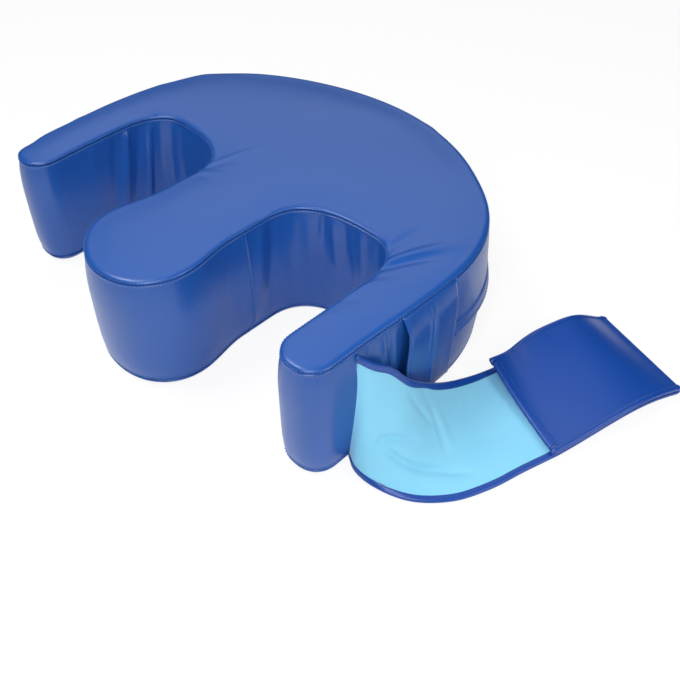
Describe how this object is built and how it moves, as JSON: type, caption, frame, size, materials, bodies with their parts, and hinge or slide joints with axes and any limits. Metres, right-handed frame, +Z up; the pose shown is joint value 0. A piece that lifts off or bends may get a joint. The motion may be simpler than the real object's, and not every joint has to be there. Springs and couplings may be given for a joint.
{
  "type": "patient turning cushion",
  "caption": "Thick foam cushion with a round back, two leg notches and a middle tongue, and a wide two-layer belt laid out beside it with its end folded back.",
  "frame": {"origin": "middle of the cushion's base, on its flat underside", "axes": "+Z up, +Y to the round back, +X to the side where the belt is sewn on"},
  "size_m": [0.7181, 0.4536, 0.15],
  "materials": {
    "blue_leatherette": "satin",
    "light_blue_fabric": "matte"
  },
  "bodies": {
    "root": {"cushion": "blue_leatherette", "zip_flap": "blue_leatherette", "side_panel": "blue_leatherette", "belt_shell": "blue_leatherette", "belt_lining": "light_blue_fabric", "belt_binding_upper": "blue_leatherette", "belt_binding_lower": "blue_leatherette", "belt_binding_end": "blue_leatherette"}
  },
  "joints": []
}
